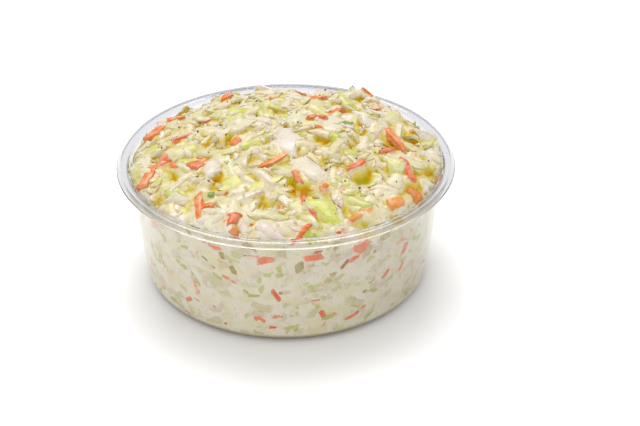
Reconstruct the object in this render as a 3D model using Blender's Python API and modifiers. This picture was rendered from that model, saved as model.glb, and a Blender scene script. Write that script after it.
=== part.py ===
"""Coleslaw heaped in a round, clear, thin-walled deli cup.

Metres, +Z up. The origin is the middle of the cup's foot, on the surface the cup stands on.
The cup is one turned shell. The coleslaw is one solid: it fills the cup to the wall and
rises over the rim in an uneven heap of short strips.
"""

import math
import random

import bmesh
import bpy
import numpy

MM = 0.001

# Cup: outside sizes of the turned shell.
RIM_HEIGHT = 43.6 * MM          # top of the flange above the table
RIM_RADIUS = 58.5 * MM          # widest ring, at the lower edge of the rim's skirt
FLANGE_RADIUS = 57.2 * MM       # flat top of the rim, where the skirt starts down
SKIRT_DROP = 1.7 * MM           # from the flange's top to the skirt's lower edge
SKIRT_EDGE = 0.35 * MM          # upright band at the skirt's lower edge
EDGE_SOFTENING = 0.3 * MM       # bevel between flange and skirt
LIP_RADIUS = 1.0 * MM           # bend from the wall's inside into the flange
WALL_TOP_RADIUS = 54.8 * MM     # outside of the wall, just under the flange
WALL_FOOT_RADIUS = 50.7 * MM    # outside of the wall, where it meets the foot's bend
FOOT_BEND_RADIUS = 4.1 * MM
FOOT_RING_WIDTH = 3.2 * MM      # flat ring that the cup stands on
PANEL_RISE = 0.8 * MM           # the floor inside the ring is pushed up
SHELL = 0.7 * MM                # plastic thickness
TURN_STEPS = 64                 # facets round the cup and round the heap

# Coleslaw: solid heap inside the cup.
FIT_GAP = 0.3 * MM              # left between the heap and the cup
HEAP_CROWN = 49.8 * MM          # height of the bed under the strips, at the middle
HEAP_EDGE = 40.6 * MM           # height of the bed under the strips, at the wall
DOME_POWER = 2.2                # a higher power gives a flatter top and steeper flanks
GRID_CELLS = 54                 # cells along each side of the heap's relief
BLOCK_MARGIN = 1.0 * MM         # the relief block reaches past the wall
BLOCK_FLOOR = -5.0 * MM         # the relief block reaches below the cup's floor
FILL_TOP = 70.0 * MM            # the turned filling reaches above the highest strip

# Broad mounds and hollows on the dome: x, y, radius, height.
MOUNDS = (
    (21.0 * MM, 27.0 * MM, 17.0 * MM, 2.2 * MM),
    (-16.0 * MM, -6.0 * MM, 16.0 * MM, 0.9 * MM),
    (30.0 * MM, -18.0 * MM, 14.0 * MM, 0.9 * MM),
    (-34.0 * MM, 22.0 * MM, 15.0 * MM, -0.8 * MM),
    (-2.0 * MM, 42.0 * MM, 13.0 * MM, -1.6 * MM),
)

# Strips that lie across the bed as rounded ridges, some of them over others.
STRIP_SEED = 7
STRIP_COUNT = 150
STRIP_LENGTH = (5.0 * MM, 21.0 * MM)
STRIP_WIDTH = (4.4 * MM, 7.4 * MM)
STRIP_LIFT = (-1.2 * MM, 1.3 * MM)      # of the strip's underside over the bed
STRIP_RISE = (1.7 * MM, 2.8 * MM)       # from its underside to its top
STRIP_TILT = 0.07                       # rise over run along a strip

CUP_COLOUR = (0.86, 0.87, 0.89, 1.0)
SLAW_COLOUR = (0.83, 0.76, 0.50, 1.0)


def clear_scene():
    """Remove every object the file opened with."""
    for item in list(bpy.data.objects):
        bpy.data.objects.remove(item, do_unlink=True)


def new_collection(name):
    """Return a new collection linked to the scene."""
    collection = bpy.data.collections.new(name)
    bpy.context.scene.collection.children.link(collection)
    return collection


def new_material(name, colour, roughness, transmission=0.0):
    """Return a Principled material."""
    material = bpy.data.materials.new(name)
    material.use_nodes = True
    shader = material.node_tree.nodes["Principled BSDF"]
    shader.inputs["Base Color"].default_value = colour
    shader.inputs["Roughness"].default_value = roughness
    shader.inputs["Metallic"].default_value = 0.0
    shader.inputs["Transmission Weight"].default_value = transmission
    return material


def arc(centre_x, centre_z, radius, start, end, count):
    """Return count + 1 points of an arc, its angles in degrees from +X towards +Z."""
    points = []
    for step in range(count + 1):
        angle = math.radians(start + (end - start) * step / count)
        points.append((centre_x + radius * math.cos(angle), centre_z + radius * math.sin(angle)))
    return points


def inside_line(offset):
    """Return the cup's inside from the axis to the top of the wall, moved inwards by offset."""
    bend = FOOT_BEND_RADIUS - SHELL - offset
    floor = SHELL + offset
    bend_x = WALL_FOOT_RADIUS - FOOT_BEND_RADIUS
    panel_edge = bend_x - FOOT_RING_WIDTH
    wall_top = RIM_HEIGHT - LIP_RADIUS
    line = [(0.0, PANEL_RISE + floor), (panel_edge - PANEL_RISE - offset, PANEL_RISE + floor)]
    line.append((panel_edge, floor))
    line += arc(bend_x, FOOT_BEND_RADIUS, bend, -90.0, 0.0, 5)
    line.append((WALL_TOP_RADIUS - SHELL - offset, wall_top))
    return line


def cup_profile():
    """Return the shell's section: up the inside, over the rim, down the outside."""
    skirt_z = RIM_HEIGHT - SKIRT_DROP
    under_flange = RIM_HEIGHT - SHELL
    bend_x = WALL_FOOT_RADIUS - FOOT_BEND_RADIUS
    panel_edge = bend_x - FOOT_RING_WIDTH
    lip_x = WALL_TOP_RADIUS - SHELL + LIP_RADIUS
    section = inside_line(0.0)
    section += arc(lip_x, RIM_HEIGHT - LIP_RADIUS, LIP_RADIUS, 180.0, 90.0, 3)[1:]
    section.append((FLANGE_RADIUS - EDGE_SOFTENING, RIM_HEIGHT))
    section.append((FLANGE_RADIUS, RIM_HEIGHT - EDGE_SOFTENING / 2.0))
    section.append((RIM_RADIUS, skirt_z + SKIRT_EDGE))
    section.append((RIM_RADIUS, skirt_z))
    section.append((RIM_RADIUS - SHELL, skirt_z))
    section.append((FLANGE_RADIUS - SHELL, under_flange))
    section.append((WALL_TOP_RADIUS + EDGE_SOFTENING, under_flange))
    section.append((WALL_TOP_RADIUS, under_flange - EDGE_SOFTENING))
    section += arc(bend_x, FOOT_BEND_RADIUS, FOOT_BEND_RADIUS, 0.0, -90.0, 6)
    section.append((panel_edge, 0.0))
    section.append((panel_edge - PANEL_RISE, PANEL_RISE))
    section.append((0.0, PANEL_RISE))
    return section


def fill_profile():
    """Return the section of what the cup can hold, down its outer side to the axis."""
    wall = list(reversed(inside_line(FIT_GAP)))
    top_radius = wall[0][0]
    return [(0.0, FILL_TOP), (top_radius, FILL_TOP)] + wall


def turned(name, profile, collection):
    """Turn an open profile, whose ends lie on the axis, once round Z."""
    mesh = bpy.data.meshes.new(name)
    vertices = [(x, 0.0, z) for x, z in profile]
    edges = [(index, index + 1) for index in range(len(profile) - 1)]
    mesh.from_pydata(vertices, edges, [])
    body = bpy.data.objects.new(name, mesh)
    collection.objects.link(body)
    screw = body.modifiers.new("turn", "SCREW")
    screw.axis = "Z"
    screw.angle = math.tau
    screw.steps = TURN_STEPS
    screw.render_steps = TURN_STEPS
    screw.use_merge_vertices = True
    screw.merge_threshold = 0.00001
    screw.use_smooth_shade = True
    return body


def dome_height(x, y):
    """Return the bed's height: a flat-topped dome with mounds and hollows."""
    reach = WALL_TOP_RADIUS - SHELL
    share = numpy.minimum(1.0, numpy.hypot(x, y) / reach)
    height = HEAP_EDGE + (HEAP_CROWN - HEAP_EDGE) * (1.0 - share ** DOME_POWER)
    for mound_x, mound_y, radius, rise in MOUNDS:
        near = numpy.hypot(x - mound_x, y - mound_y) / radius
        height += rise * numpy.exp(-near * near)
    return height


def strip_height(chance, x, y):
    """Return the next strip's height over the bed at the points x, y, or 0 beside it."""
    distance = (WALL_TOP_RADIUS - SHELL) * math.sqrt(chance.random())
    bearing = chance.uniform(0.0, math.tau)
    turn = chance.uniform(0.0, math.pi)
    half_length = chance.uniform(*STRIP_LENGTH) / 2.0
    half_width = chance.uniform(*STRIP_WIDTH) / 2.0
    lift = chance.uniform(*STRIP_LIFT)
    rise = chance.uniform(*STRIP_RISE)
    tilt = chance.uniform(-STRIP_TILT, STRIP_TILT)
    side_x = x - distance * math.cos(bearing)
    side_y = y - distance * math.sin(bearing)
    along = side_x * math.cos(turn) + side_y * math.sin(turn)
    across = side_y * math.cos(turn) - side_x * math.sin(turn)
    past_end = numpy.maximum(0.0, numpy.abs(along) - half_length)
    reach = numpy.minimum(1.0, numpy.hypot(past_end, across) / half_width)
    crown = numpy.sqrt(1.0 - reach ** 4)
    return numpy.where(reach < 1.0, lift + tilt * along + rise * crown, 0.0)


def heap_heights(x, y):
    """Return the heights of the heap at the points x, y: the bed and the strips on it."""
    chance = random.Random(STRIP_SEED)
    over_bed = numpy.zeros_like(x)
    for _ in range(STRIP_COUNT):
        over_bed = numpy.maximum(over_bed, strip_height(chance, x, y))
    return dome_height(x, y) + over_bed


def heap_block(name, collection):
    """Return a block whose top has the relief of the heap."""
    half = WALL_TOP_RADIUS + BLOCK_MARGIN
    shape = bmesh.new()
    bmesh.ops.create_grid(shape, x_segments=GRID_CELLS, y_segments=GRID_CELLS, size=half)
    top = list(shape.verts)
    walls = bmesh.ops.extrude_face_region(shape, geom=list(shape.faces))
    low = [item for item in walls["geom"] if isinstance(item, bmesh.types.BMVert)]
    for vertex in low:
        vertex.co.z = BLOCK_FLOOR
    x = numpy.array([vertex.co.x for vertex in top])
    y = numpy.array([vertex.co.y for vertex in top])
    for vertex, height in zip(top, heap_heights(x, y)):
        vertex.co.z = height
    low_faces = [face for face in shape.faces if all(v.co.z < 0.0 for v in face.verts)]
    bmesh.ops.dissolve_faces(shape, faces=low_faces)
    bmesh.ops.recalc_face_normals(shape, faces=list(shape.faces))
    mesh = bpy.data.meshes.new(name)
    shape.to_mesh(mesh)
    shape.free()
    mesh.shade_smooth()
    block = bpy.data.objects.new(name, mesh)
    collection.objects.link(block)
    return block


def build_cup(collection):
    """Model the clear cup."""
    cup = turned("cup", cup_profile(), collection)
    cup.data.materials.append(new_material("clear_plastic", CUP_COLOUR, 0.05, 0.9))
    return cup


def build_coleslaw(collection, guides):
    """Model the heap: the relief block, kept where the cup can hold it."""
    filling = turned("cup_filling", fill_profile(), guides)
    filling.hide_render = True
    filling.display_type = "WIRE"
    coleslaw = heap_block("coleslaw", collection)
    keep = coleslaw.modifiers.new("keep_inside_cup", "BOOLEAN")
    keep.operation = "INTERSECT"
    keep.solver = "EXACT"
    keep.object = filling
    coleslaw.data.materials.append(new_material("dressed_cabbage", SLAW_COLOUR, 0.45))
    return coleslaw


def main():
    """Build the cup and its coleslaw."""
    clear_scene()
    parts = new_collection("coleslaw_cup")
    guides = new_collection("cutters")
    build_cup(parts)
    build_coleslaw(parts, guides)


main()
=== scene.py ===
"""Looks of the coleslaw cup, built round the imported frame.

The clear cup is turned finely from its section. The salad is a bed of dressing, hundreds of
cabbage and carrot pieces laid on it one after another, and pieces pressed flat to the wall.
Lengths are in millimetres until a mesh is made, and in metres from there on.
"""

import logging
import math
from dataclasses import dataclass, field, replace
from enum import Enum
from typing import ClassVar

import bpy
import numpy as np
from mathutils import Matrix, Vector
from mathutils.bvhtree import BVHTree

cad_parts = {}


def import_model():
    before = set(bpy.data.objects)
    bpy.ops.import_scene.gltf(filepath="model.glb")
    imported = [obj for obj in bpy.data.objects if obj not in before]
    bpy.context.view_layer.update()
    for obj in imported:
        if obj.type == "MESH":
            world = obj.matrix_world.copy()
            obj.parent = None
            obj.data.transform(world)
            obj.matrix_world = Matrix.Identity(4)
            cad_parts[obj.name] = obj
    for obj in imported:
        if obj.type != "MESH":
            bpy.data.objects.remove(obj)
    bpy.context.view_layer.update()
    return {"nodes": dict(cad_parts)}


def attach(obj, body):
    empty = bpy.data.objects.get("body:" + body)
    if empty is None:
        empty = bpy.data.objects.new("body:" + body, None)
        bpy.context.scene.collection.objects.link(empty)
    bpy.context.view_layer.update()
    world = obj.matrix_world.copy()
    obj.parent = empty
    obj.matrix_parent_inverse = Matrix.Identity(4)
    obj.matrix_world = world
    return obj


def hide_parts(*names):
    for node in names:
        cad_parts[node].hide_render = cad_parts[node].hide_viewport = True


MM = 0.001
BODY = "root"
LOG = logging.getLogger("coleslaw_cup")

Colour = tuple[float, float, float]
Span = tuple[float, float]


def srgb(red: float, green: float, blue: float) -> Colour:
    """Return a linear colour.

    Args:
        red, green, blue: the colour as a screen shows it, each from 0 to 255.

    Returns:
        The three linear shares.
    """
    shares = (channel / 255.0 for channel in (red, green, blue))
    return tuple(s / 12.92 if s <= 0.04045 else ((s + 0.055) / 1.055) ** 2.4 for s in shares)


# ---------------------------------------------------------------- shader maths


class Signal:
    """A number that a node puts out, so that shader maths reads as an expression."""

    def __init__(self, board: "NodeBoard", socket: bpy.types.NodeSocket) -> None:
        """Hold the output socket and the board that it lies on."""
        self.board = board
        self.socket = socket

    def _maths(self, operation: str, first: object, second: object) -> "Signal":
        """Return the result of one Math node."""
        node = self.board.node(
            "ShaderNodeMath", {"operation": operation}, {0: first, 1: second}
        )
        return Signal(self.board, node.outputs[0])

    def __add__(self, other: object) -> "Signal":
        """Return self + other."""
        return self._maths("ADD", self, other)

    def __radd__(self, other: object) -> "Signal":
        """Return other + self."""
        return self._maths("ADD", other, self)

    def __sub__(self, other: object) -> "Signal":
        """Return self - other."""
        return self._maths("SUBTRACT", self, other)

    def __rsub__(self, other: object) -> "Signal":
        """Return other - self."""
        return self._maths("SUBTRACT", other, self)

    def __mul__(self, other: object) -> "Signal":
        """Return self * other."""
        return self._maths("MULTIPLY", self, other)

    def __rmul__(self, other: object) -> "Signal":
        """Return other * self."""
        return self._maths("MULTIPLY", other, self)

    def ramp(self, low: float, high: float) -> "Signal":
        """Return 0 under low and 1 over high, with a smooth rise between.

        Args:
            low: the value at which the rise starts.
            high: the value at which it ends.

        Returns:
            The eased share.
        """
        node = self.board.node(
            "ShaderNodeMapRange",
            {"interpolation_type": "SMOOTHSTEP"},
            {"Value": self, "From Min": low, "From Max": high},
        )
        return Signal(self.board, node.outputs[0])


class NodeBoard:
    """The node tree of one new material."""

    def __init__(self, name: str) -> None:
        """Make an empty material of this name."""
        self.material = bpy.data.materials.new(name)
        self.material.use_nodes = True
        self.tree = self.material.node_tree
        self.tree.nodes.clear()

    def node(self, kind: str, settings: dict = None, inputs: dict = None) -> bpy.types.Node:
        """Add a node.

        Args:
            kind: the node's type.
            settings: its properties, set before its sockets.
            inputs: values, sockets or signals for its input sockets.

        Returns:
            The node.
        """
        node = self.tree.nodes.new(kind)
        for name, value in (settings or {}).items():
            setattr(node, name, value)
        for key, value in (inputs or {}).items():
            if isinstance(value, Signal):
                self.tree.links.new(value.socket, node.inputs[key])
            elif isinstance(value, bpy.types.NodeSocket):
                self.tree.links.new(value, node.inputs[key])
            else:
                node.inputs[key].default_value = value
        return node

    def mixed(self, share: object, first: object, second: object) -> bpy.types.NodeSocket:
        """Blend two colours.

        Args:
            share: how much of the second colour shows, a number or a signal.
            first: a linear colour or a colour socket.
            second: a linear colour or a colour socket.

        Returns:
            The blended colour's socket.
        """
        colours = [(*c, 1.0) if isinstance(c, tuple) else c for c in (first, second)]
        node = self.node(
            "ShaderNodeMix",
            {"data_type": "RGBA"},
            {0: share, 6: colours[0], 7: colours[1]},
        )
        return node.outputs[2]

    def noise(self, place: object, scale: float, detail: float = 2.0, warp: float = 0.0) -> Signal:
        """Return smooth noise from 0 to 1.

        Args:
            place: the socket that gives the place.
            scale: lumps per unit of the place.
            detail: octaves of finer noise.
            warp: how far the pattern is stirred.

        Returns:
            The noise.
        """
        node = self.node(
            "ShaderNodeTexNoise",
            None,
            {"Vector": place, "Scale": scale, "Detail": detail, "Distortion": warp},
        )
        return Signal(self, node.outputs[0])

    def stretched(self, place: object, scale: tuple) -> bpy.types.NodeSocket:
        """Return the place scaled by its own factor on each axis."""
        node = self.node("ShaderNodeMapping", None, {"Vector": place, "Scale": scale})
        return node.outputs[0]

    def bump(self, height: object, depth: float) -> bpy.types.NodeSocket:
        """Return a normal for a relief whose full height is depth metres."""
        node = self.node(
            "ShaderNodeBump", None, {"Height": height, "Strength": 1.0, "Distance": depth}
        )
        return node.outputs[0]

    def principled(self, inputs: dict) -> bpy.types.Node:
        """Add a Principled shader with these inputs."""
        return self.node("ShaderNodeBsdfPrincipled", None, inputs)

    def finish(self, shader: bpy.types.NodeSocket) -> bpy.types.Material:
        """Join the shader to the output and return the material."""
        self.node("ShaderNodeOutputMaterial", None, {"Surface": shader})
        return self.material


# ---------------------------------------------------------------- finishes


@dataclass(frozen=True)
class ClearPlastic:
    """Thin clear formed plastic, grey where the rim is folded: partly its own tint, partly painted
    shade of the layered plastic, stronger away from the front. Painted dark lines mark the rim's
    outer edges away from the front, and painted highlight lines mark them at the front.
    """

    wall: Colour = srgb(254, 253, 252)
    # Grey of the folded rim: partly the plastic's own tint, partly painted shade of its layers.
    rim: Colour = srgb(206, 206, 210)
    # Painted shade: dark lines on the rim's outer edges, away from the front.
    edge: Colour = srgb(164, 164, 167)
    # Painted highlight: white lines on the same edges at the front, standing in for the lamp's
    # reflection.
    painted_highlight: Colour = (0.3, 0.3, 0.29)
    rim_from: float = 38.0 * MM
    edges_from: float = 42.95 * MM
    painted_bead_line: float = 58.15 * MM
    fold: Span = (56.75 * MM, 57.25 * MM)
    front: Span = (-52.0 * MM, -22.0 * MM)
    roughness: float = 0.012
    ior: float = 1.28

    def material(self) -> bpy.types.Material:
        """Return the material: glass to the eye, and clear to the lamps."""
        board = NodeBoard("clear_plastic")
        place = board.node("ShaderNodeTexCoord").outputs["Object"]
        haze = board.noise(place, 180.0, 3.0)
        parts = board.node("ShaderNodeSeparateXYZ", None, {0: place}).outputs
        height, back = Signal(board, parts[2]), Signal(board, parts[1]).ramp(*self.front)
        flat = board.stretched(place, (1.0, 1.0, 0.0))
        reach = board.node("ShaderNodeVectorMath", {"operation": "LENGTH"}, {0: flat})
        radius = Signal(board, reach.outputs["Value"])
        soft = 0.15 * MM
        # Masks of the painted lines: along the flange's outer edge, and round the outermost ring of
        # the skirt.
        low, high = self.fold
        fold = radius.ramp(low, low + soft) * (1.0 - radius.ramp(high - soft, high))
        fold = fold * height.ramp(self.edges_from, self.edges_from + soft)
        painted_bead_line = radius.ramp(self.painted_bead_line, self.painted_bead_line + soft)
        # Grey of the folded rim, stronger away from the front: partly its own tint, partly painted
        # shade.
        folded = height.ramp(self.rim_from, self.rim_from + 5.0 * MM) * (0.2 + back * 0.8)
        tint = board.mixed(folded, self.wall, self.rim)
        far = Signal(board, parts[1]).ramp(10.0 * MM, 30.0 * MM)
        # Painted shade: dark line on the skirt away from the front, and along the flange edge at the
        # far back.
        tint = board.mixed((painted_bead_line + fold * far) * back, tint, self.edge)
        # Its emission is a painted highlight: white lines on the same edges at the front.
        clear = board.principled({
            "Base Color": tint,
            "Roughness": self.roughness + haze * 0.012,
            "IOR": self.ior,
            "Transmission Weight": 1.0,
            "Emission Color": board.mixed((painted_bead_line + fold) * (1.0 - back), (0.0, 0.0, 0.0), self.painted_highlight),
            "Emission Strength": 1.0,
        })
        open_way = board.node("ShaderNodeBsdfTransparent", None, {"Color": tint})
        path = board.node("ShaderNodeLightPath")
        both = board.node(
            "ShaderNodeMixShader",
            None,
            {0: path.outputs["Is Shadow Ray"], 1: clear.outputs[0], 2: open_way.outputs[0]},
        )
        return board.finish(both.outputs[0])


@dataclass(frozen=True)
class DressingLook:
    """Colours of the dressing: creamy on top, with painted shade where it lies deep among the
    pieces: yellow-green, then golden or olive, then red-brown in the deepest pockets.
    """

    cream: Colour = srgb(229, 223, 205)
    leaf: Colour = srgb(217, 212, 151)
    beige: Colour = srgb(221, 201, 171)
    speck: Colour = srgb(182, 175, 124)
    # Painted shade, from the shallow yellow-green to the red-brown of the deepest pockets.
    painted_shallow_shade: Colour = srgb(209, 190, 84)
    gold: Colour = srgb(200, 148, 10)
    olive: Colour = srgb(176, 162, 14)
    painted_deepest_shade: Colour = srgb(160, 74, 2)

    def shown(self, board: NodeBoard, spot: object, deep: Signal) -> bpy.types.NodeSocket:
        """Return the dressing's colour, with painted shade where it lies deep.

        Args:
            board: the material's board.
            spot: the socket that gives the place.
            deep: how deep the place lies among the pieces, from 0 to 1.

        Returns:
            The colour's socket.
        """
        leaf = board.noise(board.stretched(spot, (1.0, 1.0, 1.5)), 110.0, 3.0, 0.8).ramp(0.46, 0.66)
        stain = board.noise(spot, 190.0, 2.0, 1.2).ramp(0.52, 0.68)
        speck = board.noise(board.stretched(spot, (1.0, 1.0, 0.6)), 620.0, 1.0, 1.5).ramp(0.6, 0.72)
        green = board.noise(spot, 95.0, 1.0).ramp(0.44, 0.58)
        colour = board.mixed(leaf * 0.5, self.cream, self.leaf)
        colour = board.mixed(stain * 0.4, colour, self.beige)
        colour = board.mixed(speck * 0.35, colour, self.speck)
        # Painted shade by depth: yellow-green first, then golden or olive pockets, then red-brown.
        pocket = board.mixed(green, self.gold, self.olive)
        colour = board.mixed(deep.ramp(0.1, 0.46), colour, self.painted_shallow_shade)
        colour = board.mixed(deep.ramp(0.4, 0.78), colour, pocket)
        return board.mixed(deep.ramp(0.85, 1.2), colour, self.painted_deepest_shade)


@dataclass(frozen=True)
class DressedPiece:
    """A moist vegetable piece, its own colour showing through a film of dressing, with painted shade
    where it lies deep among the pieces, along its rim and on its underside near the ground.
    """

    name: str
    look: DressingLook = field(default_factory=DressingLook)
    coat: Colour = srgb(220, 204, 183)
    cool_coat: Colour = srgb(210, 205, 175)
    coat_share: Span = (0.05, 0.75)
    coat_lumps: float = 420.0
    fibre: Colour = srgb(210, 203, 139)
    fibre_share: float = 0.2
    # Painted shade where the piece lies deep among the others.
    painted_sunk_shade: Colour = srgb(208, 174, 40)
    sunk_share: float = 0.9
    roughness: Span = (0.25, 0.45)
    relief: float = 0.22 * MM

    def material(self) -> bpy.types.Material:
        """Return the material."""
        board = NodeBoard(self.name)
        place = board.node("ShaderNodeTexCoord")
        spot = place.outputs["Object"]
        tint = board.node("ShaderNodeAttribute", {"attribute_name": "tint"})
        own, bare = tint.outputs["Color"], Signal(board, tint.outputs["Alpha"])
        lay = board.node("ShaderNodeAttribute", {"attribute_name": "deep"})
        deep = Signal(board, lay.outputs["Fac"])
        grain = board.noise(board.stretched(place.outputs["UV"], (0.3, 2.4, 1.0)), 1.0, 2.5)
        coat = board.noise(spot, self.coat_lumps, 3.0, 0.6).ramp(0.4, 0.62)
        low, high = self.coat_share
        lined = board.mixed(grain.ramp(0.48, 0.7) * self.fibre_share, own, self.fibre)
        # Painted shade: the piece turns golden where it lies deep, and its white film thins there.
        lined = board.mixed(deep.ramp(0.18, 0.85) * self.sunk_share, lined, self.painted_sunk_shade)
        over = (low + coat * (high - low)) * (1.0 - deep.ramp(0.2, 0.7))
        film = board.mixed(board.noise(spot, 150.0, 1.0).ramp(0.4, 0.6), self.coat, self.cool_coat)
        coated = board.mixed(over, lined, film)
        edge = (bare + (coat - 0.5) * 0.5).ramp(0.1, 0.6)
        colour = board.mixed(edge, self.look.shown(board, spot, deep), coated)
        fine = board.noise(spot, 1300.0, 2.0)
        near, far = self.roughness
        shader = board.principled({
            "Base Color": colour,
            "Roughness": far - coat * (far - near),
            "Specular IOR Level": 0.06,
            "Coat Weight": 0.9 * (1.0 - deep.ramp(0.1, 0.6)),
            "Coat Roughness": 0.24,
            "Coat IOR": 1.42,
            "Normal": board.bump(grain * 0.5 + coat * 0.8 + fine * 0.25, self.relief),
        })
        return board.finish(shader.outputs[0])


@dataclass(frozen=True)
class DressingBed:
    """The body of the salad, creamy dressing full of fine cabbage, with painted shade in the hollows
    between the pieces and a painted darker band at its foot.
    """

    look: DressingLook = field(default_factory=DressingLook)
    # Painted shade: darker brown at the foot of the salad's side, by the cup's floor.
    foot: Colour = srgb(150, 130, 84)
    coat: Colour = srgb(220, 208, 177)

    def material(self) -> bpy.types.Material:
        """Return the material."""
        board = NodeBoard("creamy_dressing")
        spot = board.node("ShaderNodeTexCoord").outputs["Object"]
        lay = board.node("ShaderNodeAttribute", {"attribute_name": "deep"})
        deep = Signal(board, lay.outputs["Fac"])
        tint = board.node("ShaderNodeAttribute", {"attribute_name": "tint"})
        upper = Signal(board, tint.outputs["Alpha"])
        curds = board.noise(spot, 520.0, 3.0, 0.5)
        coat = board.noise(spot, 260.0, 2.0, 0.8).ramp(0.36, 0.66)
        covered = board.mixed(coat * 0.6 + 0.15, tint.outputs["Color"], self.coat)
        pocket = self.look.shown(board, spot, deep)
        # Painted shade in the hollows of the top.
        top = board.mixed(deep.ramp(0.1, 0.5), covered, pocket)
        height = Signal(board, board.node("ShaderNodeSeparateXYZ", None, {0: spot}).outputs[2])
        # Painted shade: the lowest few millimetres of the side turn darker brown.
        side = board.mixed(1.0 - height.ramp(1.0 * MM, 3.6 * MM), pocket, self.foot)
        shader = board.principled({
            "Base Color": board.mixed(upper, side, top),
            "Roughness": 0.3 + curds * 0.2,
            "Specular IOR Level": 0.06,
            "Coat Weight": 0.8 * (1.0 - deep.ramp(0.1, 0.6)),
            "Coat Roughness": 0.3,
            "Coat IOR": 1.4,
            "Normal": board.bump(curds, 0.35 * MM),
        })
        return board.finish(shader.outputs[0])


@dataclass(frozen=True)
class PepperSkin:
    """Ground black pepper, dark with paler broken faces."""

    dark: Colour = srgb(32, 26, 20)
    pale: Colour = srgb(104, 84, 58)

    def material(self) -> bpy.types.Material:
        """Return the material."""
        board = NodeBoard("ground_pepper")
        spot = board.node("ShaderNodeTexCoord").outputs["Object"]
        broken = board.noise(spot, 1400.0, 2.0).ramp(0.5, 0.7)
        shader = board.principled({
            "Base Color": board.mixed(broken * 0.6, self.dark, self.pale),
            "Roughness": 0.55 + broken * 0.2,
            "Normal": board.bump(broken, 0.08 * MM),
        })
        return board.finish(shader.outputs[0])


@dataclass(frozen=True)
class StudioWhite:
    """Matt white paper under and behind the cup."""

    white: Colour = (0.95, 0.95, 0.95)

    def material(self) -> bpy.types.Material:
        """Return the material."""
        board = NodeBoard("studio_white")
        spot = board.node("ShaderNodeTexCoord").outputs["Object"]
        tooth = board.noise(spot, 900.0, 2.0)
        shader = board.principled({
            "Base Color": (*self.white, 1.0),
            "Roughness": 0.85 + tooth * 0.1,
            "Specular IOR Level": 0.1,
        })
        return board.finish(shader.outputs[0])


# ---------------------------------------------------------------- making meshes


def deselect_all() -> None:
    """Leave nothing selected, in object mode."""
    if bpy.context.object is not None and bpy.context.object.mode != "OBJECT":
        bpy.ops.object.mode_set(mode="OBJECT")
    bpy.ops.object.select_all(action="DESELECT")


def spun(name: str, section: list[tuple[float, float]], steps: int) -> bpy.types.Object:
    """Draw a section point by point in edit mode, and spin it round the upright axis.

    Args:
        name: the new object's name.
        section: (radius, height) in millimetres, from the axis back to the axis.
        steps: facets round the axis.

    Returns:
        The turned object, closed, with its faces pointing out.
    """
    deselect_all()
    points = [Vector((radius * MM, 0.0, height * MM)) for radius, height in section]
    bpy.ops.mesh.primitive_plane_add(size=MM, location=points[0])
    turned = bpy.context.object
    turned.name = name
    turned.data.name = name
    bpy.ops.object.transform_apply(location=True, rotation=True, scale=True)
    bpy.ops.object.mode_set(mode="EDIT")
    bpy.ops.mesh.select_all(action="SELECT")
    bpy.ops.mesh.merge(type="CENTER")
    for here, there in zip(points, points[1:]):
        bpy.ops.mesh.extrude_region_move(TRANSFORM_OT_translate={"value": there - here})
    bpy.ops.mesh.select_all(action="SELECT")
    bpy.ops.mesh.spin(steps=steps, angle=math.tau, center=(0, 0, 0), axis=(0, 0, 1))
    bpy.ops.mesh.select_all(action="SELECT")
    bpy.ops.mesh.remove_doubles(threshold=0.00001)
    bpy.ops.mesh.normals_make_consistent(inside=False)
    bpy.ops.object.mode_set(mode="OBJECT")
    return turned


def dressed(piece: bpy.types.Object, material: bpy.types.Material) -> bpy.types.Object:
    """Give a piece its finish and its body.

    Args:
        piece: the new object.
        material: its material.

    Returns:
        The piece.
    """
    piece.data.materials.clear()
    piece.data.materials.append(material)
    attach(piece, BODY)
    return piece


def report(piece: bpy.types.Object) -> None:
    """Log a finished piece."""
    LOG.info("%s: %d faces", piece.name, len(piece.data.polygons))


# ---------------------------------------------------------------- the cup


@dataclass(frozen=True)
class CupSizes:
    """The cup's section, as in the frame."""

    rim_height: float = 43.6
    rim_radius: float = 58.5
    flange_radius: float = 57.2
    skirt_drop: float = 1.7
    skirt_edge: float = 0.35
    softening: float = 0.3
    lip_radius: float = 1.0
    wall_top_radius: float = 54.8
    wall_foot_radius: float = 50.7
    foot_bend: float = 4.1
    ring_width: float = 3.2
    panel_rise: float = 0.8
    shell: float = 0.7

    def inside_radius(self, height: np.ndarray) -> np.ndarray:
        """Return the radius of the wall's inner face.

        Args:
            height: heights over the table.

        Returns:
            The radii, which grow past the rim no more.
        """
        top = self.rim_height - self.lip_radius
        share = np.clip((height - self.foot_bend) / (top - self.foot_bend), 0.0, 1.0)
        drop = np.clip(self.foot_bend - height, 0.0, self.foot_bend - self.shell)
        bend = self.foot_bend - self.shell
        foot = self.wall_foot_radius - self.shell - (bend - np.sqrt(bend * bend - drop * drop))
        return foot + share * (self.wall_top_radius - self.wall_foot_radius)


def arc(centre: Span, radius: float, start: float, end: float, count: int) -> list[Span]:
    """Return the points of an arc.

    Args:
        centre: its middle.
        radius: its radius.
        start, end: its first and last angle, in degrees from outwards to upwards.
        count: how many stretches it has.

    Returns:
        Its points, both ends included.
    """
    turns = [math.radians(start + (end - start) * step / count) for step in range(count + 1)]
    return [(centre[0] + radius * math.cos(t), centre[1] + radius * math.sin(t)) for t in turns]


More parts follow.
